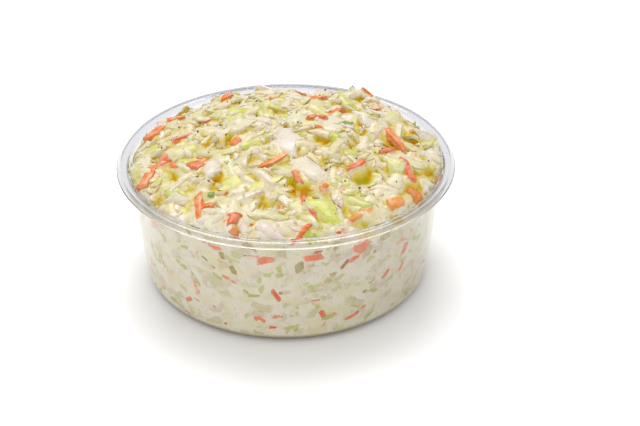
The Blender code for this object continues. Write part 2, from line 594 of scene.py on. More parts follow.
@dataclass
class DeliCup:
    """The clear cup."""

    sizes: CupSizes = field(default_factory=CupSizes)
    finish: ClearPlastic = field(default_factory=ClearPlastic)
    steps: int = 192
    bend_steps: int = 8

    def inside(self, push: float = 0.0) -> list[Span]:
        """Return the inside of the cup, from the axis up to the lip.

        Args:
            push: how far the line lies inside the plastic.

        Returns:
            The line's points.
        """
        size = self.sizes
        bend = size.foot_bend - size.shell + push
        bend_x = size.wall_foot_radius - size.foot_bend
        floor = size.shell - push
        panel = bend_x - size.ring_width
        line = [(0.0, size.panel_rise + floor), (panel - size.panel_rise, size.panel_rise + floor)]
        line.append((panel, floor))
        line += arc((bend_x, size.foot_bend), bend, -90.0, 0.0, self.bend_steps)
        line.append((size.wall_top_radius - size.shell + push, size.rim_height - size.lip_radius))
        return line

    def section(self) -> list[Span]:
        """Return the whole section: up the inside, over the rim and down the outside."""
        size = self.sizes
        top = size.rim_height
        skirt = top - size.skirt_drop
        under = top - size.shell
        bend_x = size.wall_foot_radius - size.foot_bend
        panel = bend_x - size.ring_width
        lip_x = size.wall_top_radius - size.shell + size.lip_radius
        line = self.inside()
        line += arc((lip_x, top - size.lip_radius), size.lip_radius, 180.0, 90.0, 6)[1:]
        edge = (size.flange_radius - size.softening, top - size.softening)
        line += arc(edge, size.softening, 90.0, 30.0, 3)
        band = size.skirt_edge / 2.0
        line += arc((size.rim_radius - band, skirt + band), band, 30.0, -90.0, 5)
        line += arc((size.rim_radius - size.shell + band, skirt + band), band, -90.0, -180.0, 3)
        line.append((size.flange_radius - size.shell, under))
        line.append((size.wall_top_radius + size.softening, under))
        line.append((size.wall_top_radius, under - size.softening))
        line += arc((bend_x, size.foot_bend), size.foot_bend, 0.0, -90.0, self.bend_steps)
        line.append((panel, 0.0))
        line.append((panel - size.panel_rise, size.panel_rise))
        line.append((0.0, size.panel_rise))
        return line

    def build(self) -> bpy.types.Object:
        """Build the cup and return it."""
        cup = spun("clear_cup", self.section(), self.steps)
        deselect_all()
        cup.select_set(True)
        bpy.context.view_layer.objects.active = cup
        bpy.ops.object.shade_smooth_by_angle(angle=math.radians(50.0))
        dressed(cup, self.finish.material())
        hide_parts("cup")
        report(cup)
        return cup


# ---------------------------------------------------------------- relief of the heap


class Relief:
    """Heights of the salad over a square grid, raised as pieces are laid on it."""

    PITCH = 0.5
    HALF = 58.0

    def __init__(self, cup: CupSizes, heap: bpy.types.Object) -> None:
        """Read the heap's outline from its solid in the frame.

        Args:
            cup: the cup's section.
            heap: the solid heap.
        """
        self.cup = cup
        self.count = int(2 * self.HALF / self.PITCH) + 1
        line = np.linspace(-self.HALF, self.HALF, self.count)
        self.x, self.y = np.meshgrid(line, line, indexing="ij")
        self.radius = np.hypot(self.x, self.y)
        self.target = self.smoothed(self._tops(heap), 5)
        self.height = self.target.copy()
        self.tint = np.ones((self.count, self.count, 3)) * np.array(srgb(226, 214, 150))
        self._crowns = None

    def _tops(self, heap: bpy.types.Object) -> np.ndarray:
        """Return the solid's top over every grid point, and its edge's height outside it."""
        tree = BVHTree.FromPolygons(
            [vertex.co for vertex in heap.data.vertices],
            [tuple(face.vertices) for face in heap.data.polygons],
        )
        reach = self.cup.wall_top_radius - 2.0
        shrink = np.minimum(1.0, reach / np.maximum(self.radius, 1e-6))
        tops = np.zeros_like(self.x)
        down = Vector((0.0, 0.0, -1.0))
        for index in np.ndindex(*self.x.shape):
            place = Vector((self.x[index] * shrink[index], self.y[index] * shrink[index], 100.0))
            hit = tree.ray_cast(place * MM, down)[0]
            tops[index] = hit.z / MM
        return tops

    def smoothed(self, heights: np.ndarray, rounds: int) -> np.ndarray:
        """Return heights blurred by so many rounds of averaging over neighbours."""
        for _ in range(rounds):
            for axis in (0, 1):
                pad = np.pad(heights, [(2, 2) if a == axis else (0, 0) for a in (0, 1)], "edge")
                heights = sum(np.take(pad, range(k, k + self.count), axis) for k in range(5)) / 5.0
        return heights

    def spread(self, heights: np.ndarray, rounds: int, highest: bool) -> np.ndarray:
        """Return each point's highest or lowest neighbour, so many grid steps away.

        Args:
            heights: the heights.
            rounds: grid steps.
            highest: True for the highest, False for the lowest.

        Returns:
            The new heights.
        """
        pick = np.maximum if highest else np.minimum
        for _ in range(rounds):
            for axis in (0, 1):
                pad = np.pad(heights, [(1, 1) if a == axis else (0, 0) for a in (0, 1)], "edge")
                parts = [np.take(pad, range(k, k + self.count), axis) for k in range(3)]
                heights = pick(pick(parts[0], parts[1]), parts[2])
        return heights

    def cells(self, x: np.ndarray, y: np.ndarray) -> tuple[np.ndarray, np.ndarray]:
        """Return the grid cells of these places."""
        low, high = 0, self.count - 1
        across = np.clip(np.rint((x + self.HALF) / self.PITCH).astype(int), low, high)
        along = np.clip(np.rint((y + self.HALF) / self.PITCH).astype(int), low, high)
        return across, along

    def at(self, heights: np.ndarray, x: np.ndarray, y: np.ndarray) -> np.ndarray:
        """Return the heights at these places."""
        return heights[self.cells(x, y)]

    def between(self, heights: np.ndarray, x: np.ndarray, y: np.ndarray) -> np.ndarray:
        """Return the heights at these places, blended between grid points."""
        u = np.clip((x + self.HALF) / self.PITCH, 0.0, self.count - 1.001)
        v = np.clip((y + self.HALF) / self.PITCH, 0.0, self.count - 1.001)
        i, j = u.astype(int), v.astype(int)
        fu, fv = u - i, v - j
        if heights.ndim == 3:
            fu, fv = fu[..., None], fv[..., None]
        near = heights[i, j] * (1 - fu) + heights[i + 1, j] * fu
        far = heights[i, j + 1] * (1 - fu) + heights[i + 1, j + 1] * fu
        return near * (1 - fv) + far * fv

    def raise_to(self, points: np.ndarray, tint: np.ndarray) -> None:
        """Raise the heights under these points, and keep the colour of what lies on top.

        Args:
            points: rows of x, y and z.
            tint: the points' colours.
        """
        order = np.argsort(points[:, 2])
        points, tint = points[order], tint[order]
        across, along = self.cells(points[:, 0], points[:, 1])
        higher = points[:, 2] > self.height[across, along]
        across, along = across[higher], along[higher]
        self.height[across, along] = points[higher, 2]
        self.tint[across, along] = tint[higher]

    def crown(self, rounds: int) -> np.ndarray:
        """Return the heights of the pieces' tops, spread so many grid steps sideways."""
        return self.smoothed(self.spread(self.height, rounds, True), 1)

    def depth(self, x: np.ndarray, y: np.ndarray, z: np.ndarray) -> np.ndarray:
        """Return how deep points lie among the pieces, from 0 on top to 1 in a pocket."""
        if self._crowns is None:
            self._crowns = (self.crown(3), self.crown(1))
        far, near = (self.between(crown, x, y) - z for crown in self._crowns)
        return np.clip(np.maximum((far - 0.8) / 3.2, (near - 0.25) / 1.8), 0.0, 1.1)


# ---------------------------------------------------------------- pieces


class Kind(Enum):
    """The kinds of piece in the salad, each named as its mesh."""

    RIB = "cabbage_ribs"
    LEAF = "cabbage_leaves"
    SHRED = "cabbage_shreds"
    GREEN = "green_leaves"
    CARROT = "carrot_sticks"
    HERB = "herb_bits"
    CRUMB = "cabbage_crumbs"


@dataclass(frozen=True)
class Style:
    """How one kind of piece is cut, and how it lies."""

    length: Span
    width: Span
    thickness: Span
    colours: tuple[Colour, ...]
    share: float
    square: Span = (2.5, 6.0)
    blunt: Span = (0.35, 0.85)
    camber: float = 0.12
    bend: float = 0.05
    crumple: float = 0.25
    curl: float = 0.02
    taper: float = 0.3
    stiffness: float = 0.6
    lean: float = 8.0
    rise: float = 0.02
    columns: int = 8
    rows: int = 5
    depth_share: float = 1.0
    perch: float = 0.62


WHITE = (srgb(219, 208, 191), srgb(214, 201, 168), srgb(219, 206, 196), srgb(211, 195, 142))
PALE = (srgb(210, 202, 152), srgb(202, 195, 108), srgb(192, 191, 90), srgb(216, 204, 180))
GREENS = (srgb(193, 195, 74), srgb(203, 202, 106), srgb(176, 181, 54), srgb(206, 203, 126))
ORANGES = (srgb(220, 112, 20), srgb(213, 90, 6), srgb(223, 140, 42), srgb(216, 120, 24))
DARK_GREENS = (srgb(85, 119, 27), srgb(111, 139, 40), srgb(64, 96, 23))
# The last colour of each kind is darker: painted shade of pockets between pieces high on the wall,
# also used at some listed spots.
WALL_COLOURS: dict[Kind, tuple[Colour, ...]] = {
    Kind.LEAF: (
        srgb(215, 211, 182), srgb(203, 203, 148), srgb(217, 200, 180), srgb(177, 147, 78),
    ),
    Kind.GREEN: (
        srgb(188, 195, 88), srgb(197, 201, 132), srgb(175, 186, 92), srgb(160, 145, 78),
    ),
    Kind.CARROT: (
        srgb(237, 128, 85), srgb(229, 96, 48), srgb(233, 156, 130), srgb(175, 111, 68),
    ),
}

STYLES: dict[Kind, Style] = {
    Kind.RIB: Style(
        (6.0, 16.0), (3.0, 6.5), (1.6, 2.6), WHITE, 0.32, square=(3.0, 8.0), blunt=(0.6, 0.95),
        crumple=0.2, stiffness=0.85, lean=12.0, camber=0.12,
    ),
    Kind.LEAF: Style(
        (6.0, 15.0), (4.0, 8.5), (0.9, 1.6), PALE, 0.34, crumple=0.6, stiffness=0.45,
        camber=0.16, bend=0.08, lean=10.0, columns=9, rows=6,
    ),
    Kind.SHRED: Style(
        (8.0, 18.0), (2.0, 3.6), (1.1, 1.9), WHITE + PALE, 0.14, blunt=(0.3, 0.8), curl=0.06,
        crumple=0.35, stiffness=0.6, lean=11.0, columns=10, bend=0.06,
    ),
    Kind.GREEN: Style(
        (4.0, 12.0), (2.0, 5.5), (0.4, 0.7), GREENS, 0.14, crumple=0.5, stiffness=0.4,
        camber=0.16, columns=7, lean=9.0, depth_share=0.6,
    ),
    Kind.CARROT: Style(
        (5.0, 14.0), (1.9, 3.2), (1.4, 2.2), ORANGES, 0.12, square=(4.0, 9.0),
        blunt=(0.05, 0.8), curl=0.03, crumple=0.12, stiffness=0.75, camber=0.0, lean=8.0,
        rise=0.0, depth_share=0.5,
    ),
    Kind.HERB: Style(
        (2.0, 4.5), (1.2, 2.4), (0.3, 0.5), DARK_GREENS, 0.012, crumple=0.5, stiffness=0.4,
        columns=6, lean=16.0, depth_share=0.2,
    ),
    Kind.CRUMB: Style(
        (1.6, 5.0), (1.0, 3.4), (0.6, 1.2), WHITE + PALE, 0.0, square=(4.0, 9.0),
        blunt=(0.6, 1.0), crumple=0.2, lean=12.0, rise=0.0, columns=5, rows=4, perch=0.4,
    ),
}


@dataclass
class Plate:
    """One cut piece before it is laid: a closed plate over a grid of stations."""

    middle: np.ndarray
    offset: np.ndarray
    along: np.ndarray
    across: np.ndarray
    thickness: float


def stations(count: int, crowding: float) -> np.ndarray:
    """Return stations from -1 to 1 that crowd towards both ends."""
    even = np.linspace(-1.0, 1.0, count)
    return np.sign(even) * (1.0 - (1.0 - np.abs(even)) ** crowding)


def cut_plate(
    chance: np.random.Generator, style: Style, length: float = 0.0, width: float = 0.0
) -> Plate:
    """Cut one piece.

    Args:
        chance: the seeded source of chance.
        style: how this kind is cut.
        length: its length, or 0 for one from the style.
        width: its width, or 0 for one from the style.

    Returns:
        The piece in its own frame, its length along the first axis.
    """
    length = length or chance.uniform(*style.length)
    width = width or min(chance.uniform(*style.width), length * 0.8)
    thickness = chance.uniform(*style.thickness)
    along, across = np.meshgrid(
        stations(style.columns, 1.5), stations(style.rows, 2.0), indexing="ij"
    )
    power = chance.uniform(*style.square)
    blunt = chance.uniform(*style.blunt)
    swell = (1.0 - np.abs(along) ** power) ** (1.0 / power)
    nicks = np.clip(0.2 * chance.standard_normal(along.shape), -0.12, 0.45)
    ragged = 1.0 + nicks * (np.abs(across) > 0.9)
    narrowing = 1.0 + style.taper * chance.uniform(-1.0, 1.0) * along
    half = 0.5 * width * (blunt + (1.0 - blunt) * swell) * narrowing * ragged
    a = 0.5 * length * along * (1.0 - 0.12 * across**2 * np.abs(along))
    a = a + chance.uniform(-0.45, 0.45) * width * across * along**2
    b = half * across
    turn = chance.normal(0.0, style.curl) * a
    a, b = a * np.sinc(turn / np.pi) - b * np.sin(turn), b * np.cos(turn) + a * np.sin(turn) / 2.0
    phase = chance.uniform(0.0, math.tau, 4)
    waves = np.sin(a * 0.75 + b * 0.5 + phase[0]) + np.sin(b * 1.3 - a * 0.45 + phase[1])
    c = style.crumple * waves * 0.5
    c += chance.normal(0.0, style.camber) * width * (across**2 - 0.33)
    c += chance.normal(0.0, style.bend) * length * (along**2 - 0.33)
    c += chance.normal(0.0, 0.06) * a * b / max(width, 1.0)
    full = np.sqrt(np.maximum(0.0, (1.0 - along**6) * (1.0 - across**6)))
    knobs = 1.0 + 0.15 * np.sin(a * 1.9 + phase[2]) * np.cos(b * 2.3 + phase[3])
    offset = 0.5 * thickness * full * knobs
    return Plate(np.stack([a, b, c], -1), offset, along, across, thickness)


def turned_by(spin: float, pitch: float, roll: float) -> np.ndarray:
    """Return the rotation of a piece, from its turn, pitch and roll in radians."""
    turn = Matrix.Rotation(spin, 3, "Z") @ Matrix.Rotation(pitch, 3, "Y")
    return np.array(turn @ Matrix.Rotation(roll, 3, "X"))


@dataclass
class Laid:
    """A laid piece: a closed plate with what its finish needs at each point."""

    kind: Kind
    upper: np.ndarray
    lower: np.ndarray
    tint: np.ndarray
    bare: np.ndarray
    grain: np.ndarray
    close: np.ndarray
    deep: np.ndarray = None


@dataclass
class Pile:
    """All pieces of one kind, gathered for one mesh."""

    # Painted shade on the underside: how much deeper it counts where it lies close to the ground.
    UNDERSIDE_SHADE: ClassVar[float] = 0.6
    CUT_ANGLE: ClassVar[float] = 65.0

    pieces: list[Laid] = field(default_factory=list)

    def mesh_object(self, name: str) -> bpy.types.Object:
        """Join the pieces in one smooth mesh with its colours and fibre coordinates."""
        places, faces, tints, depths, grains = [], [], [], [], []
        total = 0
        for piece in self.pieces:
            columns, rows = piece.upper.shape[:2]
            inner = np.zeros((columns, rows), bool)
            inner[1:-1, 1:-1] = True
            top = np.arange(columns * rows).reshape(columns, rows)
            under = top.copy()
            under[inner] = columns * rows + np.arange(inner.sum())
            corners = [np.s_[:-1, :-1], np.s_[1:, :-1], np.s_[1:, 1:], np.s_[:-1, 1:]]
            faces.append(np.stack([top[c] for c in corners], -1).reshape(-1, 4) + total)
            faces.append(np.stack([under[c] for c in corners[::-1]], -1).reshape(-1, 4) + total)
            places += [piece.upper.reshape(-1, 3), piece.lower[inner]]
            shade = np.concatenate([piece.tint, piece.bare[..., None]], -1)
            tints += [shade.reshape(-1, 4), shade[inner]]
            depths += [piece.deep.ravel(), (piece.deep + self.UNDERSIDE_SHADE * piece.close)[inner]]
            grains += [piece.grain.reshape(-1, 2), piece.grain[inner]]
            total += columns * rows + int(inner.sum())
        corners = np.concatenate(faces)
        mesh = bpy.data.meshes.new(name)
        mesh.vertices.add(total)
        spots = np.concatenate(places) * MM
        mesh.vertices.foreach_set("co", spots.astype(np.float32).ravel())
        mesh.loops.add(corners.size)
        mesh.loops.foreach_set("vertex_index", corners.astype(np.int32).ravel())
        mesh.polygons.add(len(corners))
        mesh.polygons.foreach_set("loop_start", np.arange(0, corners.size, 4, dtype=np.int32))
        mesh.update(calc_edges=True)
        mesh.shade_smooth()
        mesh.set_sharp_from_angle(angle=math.radians(self.CUT_ANGLE))
        tint = mesh.attributes.new("tint", "FLOAT_COLOR", "POINT")
        tint.data.foreach_set("color", np.concatenate(tints).astype(np.float32).ravel())
        deep = mesh.attributes.new("deep", "FLOAT", "POINT")
        deep.data.foreach_set("value", np.concatenate(depths).astype(np.float32))
        grain = mesh.uv_layers.new(name="fibre")
        fibre = np.concatenate(grains)[corners]
        grain.data.foreach_set("uv", fibre.astype(np.float32).ravel())
        piece = bpy.data.objects.new(name, mesh)
        bpy.context.scene.collection.objects.link(piece)
        return piece


@dataclass(frozen=True)
class Spot:
    """A piece that lies at a chosen place on the heap."""

    kind: Kind
    x: float
    y: float
    turn: float
    length: float
    width: float
    pitch: float = 0.0
    colour: int = 0


@dataclass(frozen=True)
class WallSpot:
    """A piece pressed flat to the wall at a chosen bearing, in degrees from the front."""

    kind: Kind
    bearing: float
    height: float
    turn: float
    length: float
    width: float
    colour: int = 0
    soft: float = 0.0
    blunt: float = 0.6
    bow: float = 0.0


class Salad:
    """All loose pieces: those of the heap, dropped one after another, and those at the wall."""

    SEED = 12
    DEPTH = 6.0
    MOST = 2600
    TOP_LIMIT = 55.2
    DROOP = 0.9

    def __init__(self, relief: Relief, cup: CupSizes) -> None:
        """Start from a bed that lies DEPTH under the finished heap."""
        self.relief = relief
        self.cup = cup
        self.chance = np.random.default_rng(self.SEED)
        self.laid: list[Laid] = []
        relief.height = relief.target - self.DEPTH

    def _held_in(self, points: np.ndarray, reach: float) -> np.ndarray:
        """Return points pulled back to the wall where they pass it, and bent up along it."""
        radius = np.hypot(points[..., 0], points[..., 1])
        limit = self.cup.inside_radius(points[..., 2]) + reach
        over = np.maximum(0.0, radius - limit)
        shrink = np.where(over > 0.0, limit / np.maximum(radius, 1e-6), 1.0)
        points = points.copy()
        points[..., 0] *= shrink
        points[..., 1] *= shrink
        points[..., 2] += np.minimum(0.35 * over, 1.2)
        return points

    def lay(self, kind: Kind, x: float, y: float, spot: Spot = None) -> None:
        """Cut a piece and let it come to rest on what lies at x, y.

        Args:
            kind: its kind.
            x: its middle's place across.
            y: its middle's place along.
            spot: its chosen turn, size and pitch, or None for chance.
        """
        chance, style = self.chance, STYLES[kind]
        size = (spot.length, spot.width) if spot else (0.0, 0.0)
        plate = cut_plate(chance, style, *size)
        steep = chance.random() < style.rise
        pitch = math.radians(chance.normal(0.0, style.lean) + steep * chance.choice([-28, 28]))
        roll = math.radians(chance.normal(0.0, style.lean * 1.3))
        spin = chance.uniform(0.0, math.tau)
        if spot:
            spin, pitch, roll = math.radians(spot.turn), -math.radians(spot.pitch), roll * 0.3
        turn = turned_by(spin, pitch, roll)
        middle = plate.middle @ turn.T
        px, py = middle[..., 0] + x, middle[..., 1] + y
        ground = self.relief.at(self.relief.height, px, py)
        table = np.stack([middle[..., 0].ravel(), middle[..., 1].ravel(), np.ones(px.size)], 1)
        fit = np.linalg.lstsq(table, ground.ravel(), rcond=None)[0]
        slope = np.clip(fit[:2], -0.5, 0.5) * 0.8
        rest = middle[..., 0] * slope[0] + middle[..., 1] * slope[1] + middle[..., 2]
        gap = ground - rest
        sag = gap - gap.mean()
        for _ in range(2):
            sag[1:-1] = (sag[:-2] + 2.0 * sag[1:-1] + sag[2:]) / 4.0
            sag[:, 1:-1] = (sag[:, :-2] + 2.0 * sag[:, 1:-1] + sag[:, 2:]) / 4.0
        rest = rest + (1.0 - style.stiffness) * np.clip(sag, -2.0, 2.0)
        lift = np.quantile(ground - rest, style.perch) + 0.2 * plate.thickness
        lying = rest + lift
        edge = (np.abs(plate.along) > 0.999) | (np.abs(plate.across) > 0.999)
        lying = lying - edge * np.clip(lying - ground - 0.1, 0.0, self.DROOP)
        centre = np.stack([px, py, lying], -1)
        normal = turn[:, 2] + np.array([-slope[0], -slope[1], 0.0])
        normal = normal / np.linalg.norm(normal)
        normal = normal if normal[2] > 0 else -normal
        out = plate.offset[..., None] * normal
        upper, lower = self._held_in(centre + out, 0.1), self._held_in(centre - 2.4 * out, 0.1)
        drop = max(0.0, upper[..., 2].max() - self.TOP_LIMIT)
        upper[..., 2] -= drop
        lower[..., 2] -= drop
        piece = self._finished(kind, plate, upper, lower, style.colours, spot.colour if spot else -1)
        # How near the piece lies to what is under it; the underside's painted shade grows with it.
        piece.close = 1.0 - np.clip((lying - ground) / 2.5, 0.0, 1.0)
        self.laid.append(piece)
        self._press(np.concatenate([upper, piece.tint], -1))

    def _finished(
        self, kind: Kind, plate: Plate, upper: np.ndarray, lower: np.ndarray,
        colours: tuple[Colour, ...], pick: int,
    ) -> Laid:
        """Return a laid piece with its colours.

        Args:
            kind: its kind.
            plate: the cut piece.
            upper: its upper points.
            lower: its lower points.
            colours: the colours it may have.
            pick: its colour in that list, or -1 for chance.

        Returns:
            The piece.
        """
        chance = self.chance
        first = np.array(colours[pick if pick >= 0 else chance.integers(len(colours))])
        second = np.array(colours[chance.integers(len(colours))])
        second = first if pick >= 0 else second
        share = np.clip(0.5 + 0.7 * plate.along * chance.uniform(-1.0, 1.0), 0.0, 1.0)[..., None]
        grain = plate.middle[..., :2] + chance.uniform(-50.0, 50.0, 2)
        bare = 1.0 - 0.45 * np.maximum(np.abs(plate.along), np.abs(plate.across)) ** 6
        tint = first * (1.0 - share) + second * share
        return Laid(kind, upper, lower, tint, bare, grain, np.ones_like(bare))

    def _press(self, upper: np.ndarray) -> None:
        """Raise the relief under a laid piece, at points finer than its own.

        Args:
            upper: its upper points, each with its colour behind its place.
        """
        columns, rows = upper.shape[:2]
        u = np.linspace(0.0, columns - 1.001, columns * 4)
        v = np.linspace(0.0, rows - 1.001, rows * 4)
        i, j = u.astype(int)[:, None], v.astype(int)[None, :]
        fu, fv = (u % 1.0)[:, None, None], (v % 1.0)[None, :, None]
        near = upper[i, j] * (1 - fu) + upper[i + 1, j] * fu
        far = upper[i, j + 1] * (1 - fu) + upper[i + 1, j + 1] * fu
        fine = (near * (1 - fv) + far * fv).reshape(-1, 6)
        self.relief.raise_to(fine[:, :3], fine[:, 3:])

    def fill(self) -> None:
        """Lay pieces where the heap is lowest until it has its outline."""
        chance, relief = self.chance, self.relief
        kinds = list(STYLES)
        shares = np.array([STYLES[kind].share for kind in kinds])
        shares = shares / shares.sum()
        reach = self.cup.wall_top_radius - self.cup.shell - 0.8
        for _ in range(self.MOST):
            radius = reach * np.sqrt(chance.random(10))
            bearing = chance.uniform(0.0, math.tau, 10)
            x, y = radius * np.cos(bearing), radius * np.sin(bearing)
            lack = relief.at(relief.target, x, y) - relief.at(relief.height, x, y)
            best = int(np.argmax(lack))
            if lack[best] < 0.2:
                break
            self.lay(kinds[chance.choice(len(kinds), p=shares)], x[best], y[best])

    def strew(self, kind: Kind, count: int, picks: int) -> None:
        """Drop small pieces of one kind on the heap, each at the lowest of a few random places.

        Args:
            kind: their kind.
            count: how many there are.
            picks: how many places each chooses from.
        """
        relief = self.relief
        reach = self.cup.wall_top_radius - self.cup.shell - 1.5
        for _ in range(count):
            radius = reach * np.sqrt(self.chance.random(picks))
            bearing = self.chance.uniform(0.0, math.tau, picks)
            x, y = radius * np.cos(bearing), radius * np.sin(bearing)
            lack = relief.at(relief.target, x, y) - relief.at(relief.height, x, y)
            best = int(np.argmax(lack))
            self.lay(kind, x[best], y[best])

    def place(self, spots: tuple[Spot, ...]) -> None:
        """Lay the pieces that have a chosen place."""
        for spot in spots:
            self.lay(spot.kind, spot.x, spot.y, spot)

    def press(self, spot: WallSpot) -> None:
        """Press one piece to the wall, its dressing-side softened as far as the spot says."""
        style = replace(STYLES[spot.kind], blunt=(spot.blunt, spot.blunt), curl=0.0)
        plate = cut_plate(self.chance, style, spot.length, spot.width)
        turn = math.radians(spot.turn)
        a, b = plate.middle[..., 0], plate.middle[..., 1]
        b = b + spot.bow * (2.0 * a / spot.length) ** 2
        right = a * math.cos(turn) - b * math.sin(turn)
        height = spot.height + a * math.sin(turn) + b * math.cos(turn)
        inward = np.maximum(0.0, 3.0 - height)
        height = np.maximum(height, 3.0)
        radius = self.cup.inside_radius(height)
        bearing = math.radians(spot.bearing) + right / radius
        rim = np.maximum(np.abs(plate.along), np.abs(plate.across)) ** 4
        push = 0.25 - 0.15 * rim - inward
        sides = []
        for reach in (push, push - 1.2 * plate.offset - 0.05):
            out = radius + reach
            sides.append(np.stack([out * np.sin(bearing), -out * np.cos(bearing), height], -1))
        piece = self._finished(spot.kind, plate, *sides, WALL_COLOURS[spot.kind], spot.colour)
        piece.bare = 1.0 - spot.soft - (1.0 - spot.soft * 0.5) * rim * 0.9
        piece.deep = np.zeros_like(rim)
        self.laid.append(piece)

    def line_wall(
        self, counts: dict[Kind, int], softness: dict[Kind, Span], bearings: Span = (0.0, 360.0)
    ) -> None:
        """Press pieces to the wall.

        Args:
            counts: how many pieces of each kind.
            softness: how much of them the dressing hides.
            bearings: the stretch of wall, in degrees from the front.
        """
        chance = self.chance
        for kind, count in counts.items():
            style = STYLES[kind]
            for _ in range(count):
                length = chance.uniform(*style.length) * chance.uniform(0.4, 0.8)
                width = min(chance.uniform(*style.width), length * 0.6) * 0.8
                height = chance.uniform(3.0, 40.5)
                last = len(WALL_COLOURS[kind]) - 1
                # Pieces high on the wall sometimes take the last, darker colour: painted shade of
                # pockets near the top.
                in_shaded_pocket = height > 27.0 and chance.random() < 0.14
                self.press(WallSpot(
                    kind, chance.uniform(*bearings), height, chance.normal(0.0, 50.0),
                    length, width, last if in_shaded_pocket else int(chance.integers(last)),
                    chance.uniform(*softness[kind]), chance.uniform(*style.blunt),
                    chance.normal(0.0, 0.12) * length,
                ))

    def build(self, finishes: dict[Kind, DressedPiece]) -> list[bpy.types.Object]:
        """Join the laid pieces in one mesh for each kind.

        Args:
            finishes: each kind's finish.

        Returns:
            The meshes' objects.
        """
        piles = {kind: Pile() for kind in Kind}
        for piece in self.laid:
            if piece.deep is None:
                points = piece.upper
                depth = self.relief.depth(points[..., 0], points[..., 1], points[..., 2])
                # The border rows count deeper, so the finish paints shade along each piece's rim.
                depth[[0, -1]] += 0.25
                depth[:, [0, -1]] += 0.25
                piece.deep = depth * STYLES[piece.kind].depth_share
            piles[piece.kind].pieces.append(piece)
        made = []
        for kind, pile in piles.items():
            item = pile.mesh_object(kind.value)
            dressed(item, finishes[kind].material())
            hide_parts("coleslaw")
            report(item)
            made.append(item)
        return made


# ---------------------------------------------------------------- the body of the salad


@dataclass
class SaladBody:
    """The body of the salad: packed to the wall, with dressing up between the upper pieces."""

    cup: DeliCup
    relief: Relief
    finish: DressingBed = field(default_factory=DressingBed)
    push: float = 0.15
    cells: int = 250
    wall_rings: int = 9

    def fill_line(self) -> np.ndarray:
        """Return the heights of the dressing between the pieces."""
        relief = self.relief
        shut = relief.spread(relief.spread(relief.height, 2, True), 2, False)
        soft = 0.4 * relief.smoothed(shut, 1) + 0.6 * shut
        x, y = relief.x, relief.y
        waves = np.sin(x * 0.31 + 0.8 * np.sin(y * 0.17)) * np.sin(y * 0.37 + 0.5)
        waves += 0.6 * np.sin(x * 0.83 - y * 0.61 + np.sin(y * 0.5)) * np.sin(y * 0.77 + x * 0.2)
        curds = np.sin(x * 2.1 + 1.3 * np.sin(y * 1.1)) * np.sin(y * 2.3 + np.sin(x * 0.9))
        return soft - np.clip(0.68 + 0.4 * waves, 0.25, 1.5) + 0.12 * curds

    def outline(self) -> list[Span]:
        """Return the side from the top of the wall down to the axis under the floor."""
        size = self.cup.sizes
        heights = np.linspace(41.0, size.foot_bend, self.wall_rings + 1)
        wall = [(float(size.inside_radius(z)) + self.push, float(z)) for z in heights]
        foot = self.cup.inside(self.push)[1:-2]
        return wall + list(reversed(foot))

    def build(self) -> bpy.types.Object:
        """Build the body and return it."""
        deselect_all()
        bpy.ops.mesh.primitive_grid_add(
            x_subdivisions=self.cells, y_subdivisions=self.cells, size=2.0
        )
        body = bpy.context.object
        body.name = body.data.name = "salad_body"
        bpy.ops.object.mode_set(mode="EDIT")
        bpy.ops.mesh.select_all(action="SELECT")
        bpy.ops.mesh.region_to_loop()
        line = self.outline()
        for _ in line[1:]:
            bpy.ops.mesh.extrude_edges_move(TRANSFORM_OT_translate={"value": (0, 0, -1.0)})
        bpy.ops.mesh.edge_face_add()
        bpy.ops.mesh.select_all(action="SELECT")
        bpy.ops.mesh.normals_make_consistent(inside=False)
        bpy.ops.object.mode_set(mode="OBJECT")
        points = np.zeros(len(body.data.vertices) * 3, np.float32)
        body.data.vertices.foreach_get("co", points)
        points = points.reshape(-1, 3).astype(float)
        across, along = points[:, 0], points[:, 1]
        wide = np.abs(across) >= np.abs(along)
        reach = np.where(wide, across, along)
        other = np.where(wide, along, across)
        turn = (math.pi / 4.0) * other / np.where(np.abs(reach) < 1e-9, 1.0, reach)
        turn = np.where(wide, turn, math.pi / 2.0 - turn)
        ring = np.rint(-points[:, 2]).astype(int)
        radii = np.array([radius for radius, _ in line])
        heights = np.array([height for _, height in line])
        radius = reach * radii[ring]
        x, y = radius * np.cos(turn), radius * np.sin(turn)
        fill = self.fill_line()
        inside = 1.0 - 0.6 / radii[0]
        edge = self.relief.between(fill, x * inside, y * inside)
        top = ring == 0
        z = np.where(top, edge, heights[ring])
        upper = (~top) & (heights[ring] > 15.0)
        unit = np.maximum(np.hypot(x, y), 1e-6)
        brim_x, brim_y = x / unit * (radii[0] - 0.6), y / unit * (radii[0] - 0.6)
        brim = np.minimum(self.relief.between(fill, brim_x, brim_y), 42.0)
        lifted = 15.0 + (heights[ring] - 15.0) * (brim - 15.0) / (heights[0] - 15.0)
        z = np.where(upper, lifted, z)
        border = top & (np.abs(np.abs(reach) - 1.0) < 1e-5)
        z = np.where(border, brim, z)
        held = (upper | border)
        grow = np.where(held, (self.cup.sizes.inside_radius(z) + self.push) / unit, 1.0)
        placed = np.stack([x * grow, y * grow, z], -1)
        body.data.vertices.foreach_set("co", (placed * MM).astype(np.float32).ravel())
        near_wall = np.clip((radii[0] - 1.0 - unit) / 2.0, 0.0, 1.0)
        # How deep each point of the top lies among the pieces, for its painted shade; none by the
        # wall, none on the side.
        depth = self.relief.depth(placed[:, 0], placed[:, 1], z) * near_wall
        deep = np.where(top, depth, 0.0)
        attribute = body.data.attributes.new("deep", "FLOAT", "POINT")
        attribute.data.foreach_set("value", deep.astype(np.float32))
        tint = self.relief.between(self.relief.tint, placed[:, 0], placed[:, 1])
        tints = np.concatenate([tint, np.where(top, near_wall, 0.0)[:, None]], 1)
        attribute = body.data.attributes.new("tint", "FLOAT_COLOR", "POINT")
        attribute.data.foreach_set("color", tints.astype(np.float32).ravel())
        body.data.update()
        body.data.shade_smooth()
        dressed(body, self.finish.material())
        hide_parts("coleslaw")
        report(body)
        return body


